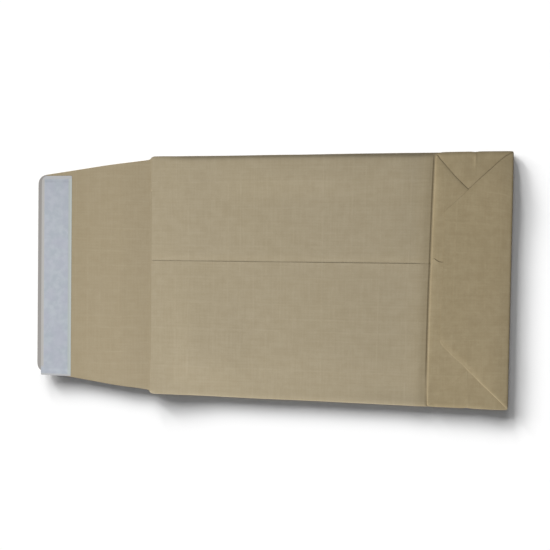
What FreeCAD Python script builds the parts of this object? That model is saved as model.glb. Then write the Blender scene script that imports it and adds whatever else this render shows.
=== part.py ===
import FreeCAD, Part
import math
import os
import Sketcher
from FreeCAD import Placement, Rotation, Vector

# Gusseted block-bottom envelope of reinforced kraft paper, empty, with its sealing
# flap open, lying on its front panel with the back seam up.
#
# One sheet is folded into a tube with a tuck down each side, and the tube's end is
# opened square, closed by two flaps and laid flat on the back panel.  Every layer of
# that fold is a flat panel on its own level, counted up from the front panel, and
# every fold is a round bend that joins two levels.
#
# The drawing frame of each body starts at the mouth edge: +X runs to the bottom fold,
# the sealing flap lies towards -X, the side folds are at +Y and -Y, and +Z is up.

sizes = [
    ("width", 229, "side fold to side fold"),
    ("body_length", 331, "mouth edge to bottom fold"),
    ("bottom_depth", 70, "block bottom, and the gusset when pulled flat"),
    ("flap_setback", 10, "bottom flap tip to the far edge of the block bottom"),
    ("paper", 0.2, "thickness of the sheet"),
    ("layer_gap", 0.1, "space between two neighbouring layers"),
    ("seam_edge", 15, "place of the seam's upper edge, from the middle"),
    ("seam_overlap", 14, "width of the glued overlap"),
    ("seam_step", 2, "run of the under layer's step down into the overlap"),
    ("flap_depth", 117.5, "mouth edge to the tip of the sealing flap"),
    ("flap_shoulder", 1, "length of the notch where the flap leaves the mouth"),
    ("flap_root_inset", 2, "side fold to the flap's side at the mouth"),
    ("flap_tip_inset", 17.5, "side fold to the flap's side at the tip"),
    ("flap_corner", 7, "radius of the flap's corners"),
    ("liner_width", 32, "release liner, across the flap"),
    ("liner_margin", 3, "bare paper between the flap's tip and the liner"),
    ("liner_overhang", 4, "how far the liner runs past the flap's lower corner"),
    ("liner_corner", 3, "radius where the liner was cut with the flap's upper corner"),
    ("liner_film", 0.1, "thickness of the release liner"),
    ("adhesive_film", 0.1, "thickness of the sealing adhesive"),
    ("dry_edge", 3, "liner beyond the adhesive, along both long sides"),
    ("dry_end", 6, "liner beyond the adhesive, at both ends"),
    ("glue_margin", 2, "paper edge to the glue that holds it"),
]

document = FreeCAD.newDocument("gusseted_envelope")
sheet = document.addObject("Spreadsheet::Sheet", "Sizes")
for row, (alias, number, note) in enumerate(sizes, start=1):
    sheet.set(f"A{row}", alias)
    sheet.set(f"B{row}", str(number))
    sheet.set(f"C{row}", note)
    sheet.setAlias(f"B{row}", alias)
document.recompute()

# Expressions that several panels share.
length = "Sizes.body_length"
half_width = "Sizes.width / 2"
depth = "Sizes.bottom_depth"
half_depth = "Sizes.bottom_depth / 2"
flap_reach = "(Sizes.bottom_depth - Sizes.flap_setback)"
paper = "Sizes.paper"
gap = "Sizes.layer_gap"
seam_edge = "Sizes.seam_edge"
tongue_edge = "(Sizes.seam_edge - Sizes.seam_overlap)"
step_edge = "(Sizes.seam_edge + Sizes.seam_step)"
diagonal = "sqrt(2)"

# Levels of the folded sheet, from the front panel up.
front = 0
front_tuck = 1
back_tuck = 2
back = 3
bottom_wall = 4
wall_tuck = 5
side_triangle = 6
side_leaf = 7
inner_corner = 8
inner_flap = 9
outer_corner = 10
outer_flap = 11


def height(level):
    return f"{level} * (Sizes.paper + Sizes.layer_gap)"


def bend(low, high):
    """Outer radius of the fold that joins two levels."""
    return f"({high - low} * (Sizes.paper + Sizes.layer_gap) + Sizes.paper) / 2"


def new_body(name):
    """A body whose drawing frame is moved so that the part is centred on the origin."""
    body = document.addObject("PartDesign::Body", name)
    body.Label = name
    body.Placement = Placement()
    body.setExpression("Placement.Base.x", "(Sizes.flap_depth - Sizes.body_length) / 2")
    return body


def new_sketch(body, name):
    plane = next(item for item in body.Origin.OriginFeatures if item.Role == "XY_Plane")
    sketch = body.newObject("Sketcher::SketchObject", name)
    sketch.AttachmentSupport = (plane, [""])
    sketch.MapMode = "FlatFace"
    return sketch


def tie_point(sketch, line, end, across, along):
    """Hold one end of a line at a place given by two expressions."""
    for kind, expression in (("DistanceX", across), ("DistanceY", along)):
        number = float(sheet.evalExpression(expression))
        tie = sketch.addConstraint(Sketcher.Constraint(kind, -1, 1, line, end, number))
        sketch.setExpression(f"Constraints[{tie}]", expression)


def tie_radius(sketch, arc, expression):
    number = float(sheet.evalExpression(expression))
    tie = sketch.addConstraint(Sketcher.Constraint("Radius", arc, number))
    sketch.setExpression(f"Constraints[{tie}]", expression)


def draw_outline(sketch, corners):
    places = []
    for across, along in corners:
        x = float(sheet.evalExpression(across))
        y = float(sheet.evalExpression(along))
        places.append(Vector(x, y, 0))
    count = len(places)
    for index in range(count):
        line = Part.LineSegment(places[index], places[(index + 1) % count])
        sketch.addGeometry(line)
    for index in range(count):
        following = (index + 1) % count
        sketch.addConstraint(Sketcher.Constraint("Coincident", index, 2, following, 1))
    for index, (across, along) in enumerate(corners):
        tie_point(sketch, index, 1, across, along)


def pad(body, sketch, name, thickness):
    feature = body.newObject("PartDesign::Pad", name)
    feature.Profile = sketch
    feature.setExpression("Length", thickness)
    return feature


def panel(body, name, base, corners, thickness=paper):
    """A flat layer: an outline in X and Y, lifted to its base height."""
    sketch = new_sketch(body, f"{name}_outline")
    sketch.setExpression("AttachmentOffset.Base.z", base)
    draw_outline(sketch, corners)
    return pad(body, sketch, name, thickness)


def fold(body, name, base, radius, start, outward, run, thickness=paper):
    """A round bend.  Its outermost line starts at a point in X and Y and runs to the
    right of the outward direction, which is an angle from +X in degrees."""
    sketch = new_sketch(body, f"{name}_section")
    turn = Rotation(Vector(0, 0, 1), outward) * Rotation(Vector(1, 0, 0), 90)
    sketch.AttachmentOffset = Placement(Vector(0, 0, 0), turn)
    sketch.setExpression("AttachmentOffset.Base.x", start[0])
    sketch.setExpression("AttachmentOffset.Base.y", start[1])
    sketch.setExpression("AttachmentOffset.Base.z", base)
    outer = float(sheet.evalExpression(radius))
    inner = outer - float(sheet.evalExpression(thickness))
    centre = Vector(-outer, outer, 0)
    for size in (outer, inner):
        circle = Part.Circle(centre, Vector(0, 0, 1), size)
        sketch.addGeometry(Part.ArcOfCircle(circle, -math.pi / 2, math.pi / 2))
    for sign in (-1, 1):
        arc_end = centre + Vector(0, sign * outer, 0)
        sketch.addGeometry(Part.LineSegment(arc_end, centre + Vector(0, sign * inner, 0)))
    for arc, arc_end, line, line_end in ((0, 1, 2, 1), (1, 1, 2, 2), (0, 2, 3, 1), (1, 2, 3, 2)):
        sketch.addConstraint(Sketcher.Constraint("Coincident", arc, arc_end, line, line_end))
    sketch.addConstraint(Sketcher.Constraint("Coincident", 0, 3, 1, 3))
    sketch.addConstraint(Sketcher.Constraint("Vertical", 2))
    sketch.addConstraint(Sketcher.Constraint("Vertical", 3))
    sketch.addConstraint(Sketcher.Constraint("Vertical", 0, 1, 0, 3))
    tie_point(sketch, 0, 3, f"-({radius})", radius)
    tie_radius(sketch, 0, radius)
    tie_radius(sketch, 1, f"{radius} - {thickness}")
    return pad(body, sketch, name, run)


def seam_tongue(body, name, start, end, level, under):
    """The edge of the upper half, which steps to the next level and runs under the seam."""
    sketch = new_sketch(body, f"{name}_section")
    turn = Rotation(Vector(0, 0, 1), 90) * Rotation(Vector(1, 0, 0), 90)
    sketch.AttachmentOffset = Placement(Vector(0, 0, 0), turn)
    sketch.setExpression("AttachmentOffset.Base.x", start)
    lower = ((step_edge, level), (seam_edge, under), (tongue_edge, under))
    corners = [(across, height(place)) for across, place in lower]
    corners += [(across, f"{height(place)} + {paper}") for across, place in reversed(lower)]
    draw_outline(sketch, corners)
    return pad(body, sketch, name, f"{end} - ({start})")


def round_corners(body, feature, places, radius):
    """Round the upright edges of a panel that stand at these places in X and Y."""
    document.recompute()
    names = []
    for across, along in places:
        x = float(sheet.evalExpression(across))
        y = float(sheet.evalExpression(along))
        for index, edge in enumerate(feature.Shape.Edges, start=1):
            box = edge.BoundBox
            upright = box.ZLength > box.XLength + box.YLength
            if upright and math.dist((box.XMin, box.YMin), (x, y)) < 0.001:
                names.append(f"Edge{index}")
    rounding = body.newObject("PartDesign::Fillet", f"{feature.Name}_corners")
    rounding.Base = (feature, names)
    rounding.setExpression("Radius", radius)
    return rounding


def mirror_across_middle(body, features, name):
    plane = next(item for item in body.Origin.OriginFeatures if item.Role == "XZ_Plane")
    feature = body.newObject("PartDesign::Mirrored", name)
    feature.Originals = features
    feature.MirrorPlane = (plane, [""])
    body.Tip = feature
    return feature


# Fold radii, named by how many levels they cross.
next_level = bend(0, 1)
three_levels = bend(2, 5)
five_levels = bend(4, 9)
whole_stack = bend(front, outer_flap)

# Folds that share a line share the line of their centres, so that they nest.
bottom_centre = f"({length} - {whole_stack})"
lip_centre = f"({length} - {depth} + {five_levels})"
middle_centre = f"({length} - {half_depth} - {next_level})"

# A flat panel stops where its fold begins.
side_line = f"({half_width} - {next_level})"
tuck_line = f"({half_width} - {half_depth} + {next_level})"
leaf_line = f"({half_width} - {flap_reach})"
outer_tip = f"({length} - {flap_reach})"
inner_tip = f"({length} - {depth} + {flap_reach})"

# Half the flap's width, at its tip.
flap_tip_side = f"({half_width} - Sizes.flap_tip_inset)"

# Set-back of a panel from a slanted fold, and of a fold's end from a corner where
# several folds meet.
slant = f"{diagonal} * {next_level}"
wide_slant = f"{diagonal} * {five_levels}"
bottom_relief = f"({whole_stack} + {slant})"
relief = f"({five_levels} + {slant})"


def envelope_sheet():
    body = new_body("envelope_sheet")

    # Front panel and sealing flap.
    upper_side = [
        (bottom_centre, side_line),
        ("0", side_line),
        ("-Sizes.flap_shoulder", f"({half_width} - Sizes.flap_root_inset)"),
        ("-Sizes.flap_depth", flap_tip_side),
    ]
    lower_side = [(across, f"-{along}") for across, along in reversed(upper_side)]
    front_panel = panel(body, "front_panel", height(front), upper_side + lower_side)
    tip_corners = [upper_side[-1], lower_side[0]]
    round_corners(body, front_panel, tip_corners, "Sizes.flap_corner")

    # Outer bottom flap, folded back from the front panel over the whole stack.
    fold_side = f"({half_width} - {bottom_relief})"
    tip_side = f"({leaf_line} - {slant})"
    fold(body, "bottom_fold", height(front), whole_stack, (length, fold_side), 0, f"2 * {fold_side}")
    panel(body, "outer_flap", height(outer_flap), [
        (bottom_centre, f"-{fold_side}"),
        (bottom_centre, fold_side),
        (outer_tip, tip_side),
        (outer_tip, f"-{tip_side}"),
    ])

    # One side: tuck, side triangle, side leaf and the flaps' corners.
    side = []
    lip_side = f"({half_width} - {relief})"
    tuck_run = f"{length} - {half_depth} - {relief}"
    wall_run = f"{half_depth} - 2 * {relief}"
    side.append(fold(body, "front_side_fold", height(front), next_level,
                     ("0", half_width), 90, bottom_centre))
    side.append(panel(body, "front_tuck", height(front_tuck), [
        ("0", tuck_line),
        ("0", side_line),
        (f"{length} - {next_level} - {wide_slant}", side_line),
        (f"{length} - {half_depth} + {next_level} - {wide_slant}", tuck_line),
    ]))
    side.append(fold(body, "tuck_fold", height(front_tuck), next_level,
                     (tuck_run, f"{half_width} - {half_depth}"), -90, tuck_run))
    side.append(panel(body, "back_tuck", height(back_tuck), [
        ("0", tuck_line),
        ("0", side_line),
        (middle_centre, side_line),
        (middle_centre, tuck_line),
    ]))
    side.append(fold(body, "back_side_fold", height(back_tuck), next_level,
                     ("0", half_width), 90, tuck_run))
    side.append(fold(body, "tuck_end_fold", height(back_tuck), three_levels,
                     (f"{middle_centre} + {three_levels}", lip_side), 0, wall_run))
    side.append(panel(body, "wall_tuck", height(wall_tuck), [
        (middle_centre, side_line),
        (f"{length} - {depth} + {next_level} + {slant}", side_line),
        (middle_centre, f"{tuck_line} + {slant}"),
    ]))
    side.append(fold(body, "wall_side_fold", height(bottom_wall), next_level,
                     (f"{length} - {depth} + {relief}", half_width), 90, wall_run))
    side.append(fold(body, "wall_slant_fold", height(wall_tuck), next_level,
                     (f"{length} - {half_depth} - {relief}", f"{half_width} - {half_depth} + {relief}"),
                     -135, f"{diagonal} * ({wall_run})"))
    side.append(panel(body, "side_triangle", height(side_triangle), [
        (f"{length} - {next_level} - {wide_slant}", side_line),
        (f"{length} - {depth} + {next_level} + {slant}", side_line),
        (f"{length} - {half_depth} - (({five_levels}) - ({next_level})) / {diagonal}",
         f"{half_width} - {half_depth} + (({five_levels}) + ({next_level})) / {diagonal}"),
    ]))
    side.append(fold(body, "triangle_fold", height(front_tuck), five_levels,
                     (f"{length} - {bottom_relief}", f"{half_width} - {bottom_relief}"), -45,
                     f"{diagonal} * ({half_depth} - {relief} - {bottom_relief})"))
    side.append(panel(body, "side_leaf", height(side_leaf), [
        (lip_centre, leaf_line),
        (bottom_centre, leaf_line),
        (bottom_centre, side_line),
        (lip_centre, side_line),
    ]))
    side.append(fold(body, "leaf_side_fold", height(side_triangle), next_level,
                     (f"{length} - {depth} + {relief}", half_width), 90,
                     f"{depth} - {relief} - {bottom_relief}"))
    side.append(panel(body, "inner_corner", height(inner_corner), [
        (lip_centre, leaf_line),
        (f"{inner_tip} - {slant}", leaf_line),
        (lip_centre, lip_side),
    ]))
    side.append(fold(body, "leaf_lip_fold", height(side_leaf), next_level,
                     (f"{lip_centre} - {next_level}", leaf_line), 180,
                     f"{flap_reach} - {relief}"))
    side.append(fold(body, "inner_slant_fold", height(inner_corner), next_level,
                     (f"{length} - {depth} + {relief}", lip_side), 45,
                     f"{diagonal} * ({flap_reach} - {relief})"))
    side.append(panel(body, "outer_corner", height(outer_corner), [
        (bottom_centre, leaf_line),
        (bottom_centre, fold_side),
        (f"{outer_tip} + {slant}", leaf_line),
    ]))
    side.append(fold(body, "leaf_bottom_fold", height(side_leaf), three_levels,
                     (f"{bottom_centre} + {three_levels}", fold_side), 0,
                     f"{flap_reach} - {bottom_relief}"))
    side.append(fold(body, "outer_slant_fold", height(outer_corner), next_level,
                     (outer_tip, leaf_line), 135,
                     f"{diagonal} * ({flap_reach} - {bottom_relief})"))
    mirror_across_middle(body, side, "other_side")

    # Back panel, bottom wall and inner flap: in each the lower half lies over the
    # upper half's tongue, which steps towards the inside of the stack.
    inner_side = f"({leaf_line} - {slant})"
    for name, start, end, level, under, start_side, end_side in (
        ("back", "0", middle_centre, back, back_tuck, side_line, side_line),
        ("bottom_wall", lip_centre, middle_centre, bottom_wall, wall_tuck, side_line, side_line),
        ("inner_flap", lip_centre, inner_tip, inner_flap, inner_corner, lip_side, inner_side),
    ):
        panel(body, f"{name}_lower_half", height(level), [
            (start, f"-{start_side}"),
            (end, f"-{end_side}"),
            (end, seam_edge),
            (start, seam_edge),
        ])
        panel(body, f"{name}_upper_half", height(level), [
            (start, step_edge),
            (end, step_edge),
            (end, end_side),
            (start, start_side),
        ])
        seam_tongue(body, f"{name}_tongue", start, end, level, under)

    # The same three strips of paper, where they turn from one panel to the next.
    upper_edge = f"({seam_edge} + {gap})"
    fold(body, "middle_fold_lower_half", height(back), next_level,
         (f"{middle_centre} + {next_level}", seam_edge), 0, f"{seam_edge} + {lip_side}")
    fold(body, "middle_fold_upper_half", height(back), next_level,
         (f"{middle_centre} + {next_level}", lip_side), 0, f"{lip_side} - {upper_edge}")
    fold(body, "middle_fold_tongue", height(back_tuck), three_levels,
         (f"{middle_centre} + {three_levels}", seam_edge), 0, "Sizes.seam_overlap")
    fold(body, "lip_lower_half", height(bottom_wall), five_levels,
         (f"{length} - {depth}", f"-{lip_side}"), 180, f"{lip_side} + {seam_edge}")
    fold(body, "lip_upper_half", height(bottom_wall), five_levels,
         (f"{length} - {depth}", upper_edge), 180, f"{lip_side} - {upper_edge}")
    fold(body, "lip_tongue", height(wall_tuck), three_levels,
         (f"{lip_centre} - {three_levels}", tongue_edge), 180, "Sizes.seam_overlap")
    return body


def seam_glue():
    """The glue line of the back seam, which follows the sheet round both folds."""
    body = new_body("seam_glue")
    low_side = f"({tongue_edge} + Sizes.glue_margin)"
    high_side = f"({seam_edge} - Sizes.glue_margin)"
    run = "Sizes.seam_overlap - 2 * Sizes.glue_margin"
    for name, start, end, under in (
        ("back_line", "Sizes.glue_margin", middle_centre, back_tuck),
        ("bottom_wall_line", lip_centre, middle_centre, bottom_wall),
        ("inner_flap_line", lip_centre, f"{inner_tip} - Sizes.glue_margin", inner_corner),
    ):
        panel(body, name, f"{height(under)} + {paper}", [
            (start, low_side),
            (end, low_side),
            (end, high_side),
            (start, high_side),
        ], gap)
    fold(body, "line_at_middle_fold", f"{height(back_tuck)} + {paper}", f"{three_levels} - {paper}",
         (f"{middle_centre} + {three_levels} - {paper}", high_side), 0, run, gap)
    fold(body, "line_at_lip", f"{height(bottom_wall)} + {paper}", f"{five_levels} - {paper}",
         (f"{lip_centre} - {five_levels} + {paper}", low_side), 180, run, gap)
    return body


def bottom_glue():
    """The patch between the two bottom flaps."""
    body = new_body("bottom_glue")
    edge_line = f"({leaf_line} - Sizes.glue_margin)"
    outer_end = f"({outer_tip} + Sizes.glue_margin)"
    inner_end = f"({inner_tip} - Sizes.glue_margin)"
    space = f"{height(outer_flap)} - ({height(inner_flap)} + {paper})"
    panel(body, "patch", f"{height(inner_flap)} + {paper}", [
        (outer_end, f"-{edge_line}"),
        (inner_end, f"-{edge_line}"),
        (inner_end, edge_line),
        (outer_end, edge_line),
    ], space)
    return body


# Edges of the release liner.
liner_tip_side = "(Sizes.liner_margin - Sizes.flap_depth)"
liner_root_side = f"({liner_tip_side} + Sizes.liner_width)"
liner_upper_end = flap_tip_side
liner_lower_end = f"(-{flap_tip_side} - Sizes.liner_overhang)"


def closing_strip(name, base, thickness, side_inset, end_inset):
    """A strip across the sealing flap, near its tip."""
    body = new_body(name)
    panel(body, f"{name}_strip", base, [
        (f"{liner_tip_side} + {side_inset}", f"{liner_lower_end} + {end_inset}"),
        (f"{liner_root_side} - {side_inset}", f"{liner_lower_end} + {end_inset}"),
        (f"{liner_root_side} - {side_inset}", f"{liner_upper_end} - {end_inset}"),
        (f"{liner_tip_side} + {side_inset}", f"{liner_upper_end} - {end_inset}"),
    ], thickness)
    return body


def seal_adhesive():
    return closing_strip("seal_adhesive", paper, "Sizes.adhesive_film", "Sizes.dry_edge", "Sizes.dry_end")


def release_liner():
    """The liner's upper corner was trimmed by the cut that rounded the flap's corner."""
    base = f"{paper} + Sizes.adhesive_film"
    body = closing_strip("release_liner", base, "Sizes.liner_film", "0", "0")
    round_corners(body, body.Tip, [(liner_tip_side, liner_upper_end)], "Sizes.liner_corner")
    return body


envelope_sheet()
seam_glue()
bottom_glue()
seal_adhesive()
release_liner()

document.recompute()
pieces = [item for item in document.Objects if item.TypeId == "PartDesign::Body"]
for item in document.Objects:
    if "Invalid" in item.State or "Error" in item.State:
        raise RuntimeError(f"{item.Label} did not build: {item.State}")
for piece in pieces:
    if piece.Shape.isNull() or not piece.Shape.isValid() or len(piece.Shape.Solids) != 1:
        raise RuntimeError(f"{piece.Label} is not one valid solid")

os.makedirs("parts", exist_ok=True)
for piece in pieces:
    piece.Shape.exportStep(f"parts/{piece.Label}.step")
    box = piece.Shape.BoundBox
    print(f"{piece.Label}: {box.XLength:.2f} x {box.YLength:.2f} x {box.ZLength:.2f} mm, "
          f"{piece.Shape.Volume:.1f} mm3")
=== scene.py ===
import math

import bmesh
import bpy
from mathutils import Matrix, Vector, noise


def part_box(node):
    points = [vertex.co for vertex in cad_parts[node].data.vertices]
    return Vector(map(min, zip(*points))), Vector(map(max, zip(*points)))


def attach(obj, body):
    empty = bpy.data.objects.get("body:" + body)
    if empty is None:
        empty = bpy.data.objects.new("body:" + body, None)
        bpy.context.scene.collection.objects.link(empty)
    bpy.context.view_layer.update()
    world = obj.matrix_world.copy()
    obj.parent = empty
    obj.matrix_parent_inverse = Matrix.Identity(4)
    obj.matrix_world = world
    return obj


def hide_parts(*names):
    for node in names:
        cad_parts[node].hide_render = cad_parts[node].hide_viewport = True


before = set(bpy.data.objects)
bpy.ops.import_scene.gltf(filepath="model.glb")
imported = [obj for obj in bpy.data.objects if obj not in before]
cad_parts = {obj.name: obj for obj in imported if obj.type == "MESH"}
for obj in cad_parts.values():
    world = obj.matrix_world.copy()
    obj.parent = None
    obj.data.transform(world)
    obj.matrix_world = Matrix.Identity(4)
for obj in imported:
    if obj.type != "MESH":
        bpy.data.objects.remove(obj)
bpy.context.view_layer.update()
print("frame loaded:", ", ".join(sorted(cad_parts)))

# The paper is cut and folded in millimetres, with x = 0 at the mouth edge and y = 0 along
# the middle, and each finished piece is then brought to metres and to its place.
mm = 0.001
hair = 0.01  # closer than this is the same place
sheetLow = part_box("envelope_sheet")[0]


def deselectAll():
    if bpy.context.object and bpy.context.object.mode == "EDIT":
        bpy.ops.object.mode_set(mode="OBJECT")
    bpy.ops.object.select_all(action="DESELECT")


def toLinear(hexColour):
    channels = [int(hexColour[i:i + 2], 16) / 255 for i in (1, 3, 5)]
    return tuple(c / 12.92 if c <= 0.04045 else ((c + 0.055) / 1.055) ** 2.4 for c in channels) + (1,)


def ease(value, low, high):
    # 0 below low, 1 above high, smooth between
    t = min(1, max(0, (value - low) / (high - low)))
    return t * t * (3 - 2 * t)


def startSheet(name, lowX, highX, lowY, highY):
    # a flat rectangle of paper, left open in edit mode
    deselectAll()
    bpy.ops.mesh.primitive_plane_add(size=1, location=(0, 0, 0))
    piece = bpy.context.object
    piece.name = name
    piece.data.name = name
    bpy.ops.object.mode_set(mode="EDIT")
    bpy.ops.mesh.select_mode(type="VERT")
    bpy.ops.transform.resize(value=(highX - lowX, highY - lowY, 1), center_override=(0, 0, 0))
    bpy.ops.transform.translate(value=((lowX + highX) / 2, (lowY + highY) / 2, 0))
    return piece


def openMesh(piece):
    bm = bmesh.from_edit_mesh(piece.data)
    bm.verts.ensure_lookup_table()
    bm.faces.ensure_lookup_table()
    return bm


def selectWhere(parts, passes):
    # of a piece's verts, edges or faces, only those that pass
    bpy.ops.mesh.select_all(action="DESELECT")
    for part in parts:
        if passes(part):
            part.select_set(True)


def roundCorners(size, steps):
    bpy.ops.mesh.bevel(offset=size, offset_type="OFFSET", segments=steps, affect="VERTICES")


def cutLine(piece, point, direction, within=None):
    # a straight cut over the whole sheet, or over the faces whose middle is within
    bpy.ops.mesh.select_all(action="SELECT")
    if within:
        selectWhere(openMesh(piece).faces, lambda face: within(*face.calc_center_median().xy))
    bpy.ops.mesh.bisect(plane_co=(point[0], point[1], 0), plane_no=(-direction[1], direction[0], 0),
                        threshold=0.002)


def cutRows(piece, places, along):
    # parallel cuts: along "y" crosses the sheet at each x in places
    for place in places:
        if along == "y":
            cutLine(piece, (place, 0), (0, 1))
        else:
            cutLine(piece, (0, place), (1, 0))


def turnOver(point, direction):
    # what is selected goes over a line by half a turn, as paper does at a fold
    angle = math.atan2(direction[1], direction[0])
    centre = (point[0], point[1], 0)
    bpy.ops.transform.rotate(value=angle, orient_axis="Z", center_override=centre)
    bpy.ops.transform.rotate(value=math.pi, orient_axis="X", center_override=centre)
    bpy.ops.transform.rotate(value=-angle, orient_axis="Z", center_override=centre)


def finishSheet(piece, thickness, otherSide=0):
    # smooth bends, real thickness, metres, and its place in the frame
    smooth = piece.modifiers.new("bends", "SUBSURF")
    smooth.levels = 1
    smooth.render_levels = 1
    bpy.ops.object.modifier_apply(modifier=smooth.name)
    solid = piece.modifiers.new("thickness", "SOLIDIFY")
    solid.thickness = thickness
    solid.offset = 0
    solid.material_offset = otherSide
    bpy.ops.object.modifier_apply(modifier=solid.name)
    bpy.ops.object.mode_set(mode="EDIT")
    bpy.ops.mesh.select_all(action="SELECT")
    bpy.ops.transform.resize(value=(mm, mm, mm), center_override=(0, 0, 0))
    bpy.ops.transform.translate(value=(mouthX, 0, 0))
    bpy.ops.object.mode_set(mode="OBJECT")
    bpy.ops.object.shade_smooth_by_angle(angle=math.radians(60))
    print("made", piece.name, "with", len(piece.data.polygons), "faces")


envelope = {  # sizes in mm: the folded envelope, its flaps, its paper and its mesh rows
    "width": 229, "bodyLength": 331, "bottomDepth": 70, "bottomFlap": 60,
    "flapDepth": 117.5, "flapRootInset": 1.9, "flapTipInset": 17.5,
    "flapCorner": 7.6, "cornerSteps": 5,
    "seamEdge": 15, "seamOverlap": 14, "seamDrop": 0.27,
    "paper": 0.2, "layerPitch": 0.3,
    "scoreLine": -31.5,
    "cell": 7, "nearRow": 0.35, "farRow": 1.2, "thirdRow": 2.2,
}
halfWidth = envelope["width"] / 2
bodyEnd = envelope["bodyLength"]
gusset = envelope["bottomDepth"]
tuckLine = bodyEnd - gusset / 2           # where the tube turns back on itself
lipLine = bodyEnd - gusset                # where the bottom flap leaves the wall
midCrease = halfWidth + gusset / 2        # round the tube: the gusset's middle crease
rearCrease = halfWidth + gusset           # round the tube: gusset to back panel
gussetReach = halfWidth - gusset / 2      # folded: how far in the gusset lies
tubeRear = rearCrease + halfWidth         # round the tube: the back panel's middle line
seamUnder = tubeRear - (envelope["seamEdge"] - envelope["seamOverlap"])
seamOver = tubeRear + envelope["seamEdge"]
flatEnd = bodyEnd + envelope["bottomFlap"]
mouthX = sheetLow.x + envelope["flapDepth"] * mm

levels = {  # from the table up, in layer pitches
    "front": 0, "frontTuck": 1, "backTuck": 2, "back": 3, "bottomWall": 3.9, "wallTuck": 4.8,
    "sideTriangle": 5.7, "sideLeaf": 6.6, "innerCorner": 7.35, "innerFlap": 8.1,
    "outerCorner": 8.7, "outerFlap": 9.3,
}

# The lines that a panel turns over, from its own edge inwards to the front panel.
turns = {
    "front": (),
    "frontTuck": ("side",),
    "backTuck": ("middle", "side"),
    "back": ("rear", "middle", "side"),
    "bottomWall": ("tuck", "rear", "middle", "side"),
    "wallTuck": ("tuck", "middle", "side"),
    "sideTriangle": ("risingEdge", "side"),
    "sideLeaf": ("end", "risingEdge", "side"),
    "innerCorner": ("fallingEdge", "end", "tuck", "rear", "middle", "side"),
    "innerFlap": ("end", "tuck", "rear", "middle", "side"),
    "outerCorner": ("risingEdge", "end"),
    "outerFlap": ("end",),
}


def turnLine(name, side):
    return {
        "side": ((0, side * halfWidth), (1, 0)),
        "middle": ((0, side * midCrease), (1, 0)),
        "rear": ((0, side * rearCrease), (1, 0)),
        "tuck": ((tuckLine, 0), (0, 1)),
        "end": ((bodyEnd, 0), (0, 1)),
        "risingEdge": ((bodyEnd, side * halfWidth), (1, -side)),
        "fallingEdge": ((bodyEnd, side * rearCrease), (1, side)),
    }[name]


def panelAt(along, around):
    # the panel that a place on the flat sheet belongs to
    far = abs(around)
    if far < halfWidth:
        if along < bodyEnd:
            return "front"
        return "outerFlap" if far < halfWidth - (along - bodyEnd) else "outerCorner"
    if far > rearCrease:
        if along < tuckLine:
            return "back"
        if along < bodyEnd:
            return "bottomWall"
        return "innerFlap" if far > rearCrease + (along - bodyEnd) else "innerCorner"
    if along > bodyEnd:
        return "sideLeaf"
    if far < midCrease:
        return "sideTriangle" if along + far > bodyEnd + halfWidth else "frontTuck"
    if along - far > bodyEnd - rearCrease:
        return "sideTriangle"
    return "wallTuck" if along > tuckLine else "backTuck"


# Folded, each bend joins two panels along a line from one point to the other, for y > 0.
corner = (bodyEnd, halfWidth)
lipCorner = (lipLine, halfWidth)
tuckPoint = (tuckLine, gussetReach)
bends = [
    ("front", "frontTuck", (0, halfWidth), corner),
    ("frontTuck", "backTuck", (0, gussetReach), tuckPoint),
    ("backTuck", "back", (0, halfWidth), (tuckLine, halfWidth)),
    ("frontTuck", "sideTriangle", corner, tuckPoint),
    ("sideTriangle", "wallTuck", tuckPoint, lipCorner),
    ("back", "bottomWall", (tuckLine, 0), (tuckLine, halfWidth)),
    ("backTuck", "wallTuck", tuckPoint, (tuckLine, halfWidth)),
    ("bottomWall", "wallTuck", lipCorner, (tuckLine, halfWidth)),
    ("sideTriangle", "sideLeaf", lipCorner, corner),
    ("bottomWall", "innerFlap", (lipLine, 0), lipCorner),
    ("innerFlap", "innerCorner", lipCorner,
     (lipLine + envelope["bottomFlap"], halfWidth - envelope["bottomFlap"])),
    ("sideLeaf", "innerCorner", (lipLine, halfWidth - envelope["bottomFlap"]), lipCorner),
    ("sideLeaf", "outerCorner", (bodyEnd, halfWidth - envelope["bottomFlap"]), corner),
    ("front", "outerFlap", (bodyEnd, 0), corner),
    ("outerFlap", "outerCorner", corner,
     (bodyEnd - envelope["bottomFlap"], halfWidth - envelope["bottomFlap"])),
]
bendsOf = {name: [] for name in levels}
for first, second, start, stop in bends:
    bendsOf[first].append((second, start, stop))
    bendsOf[second].append((first, start, stop))

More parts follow.
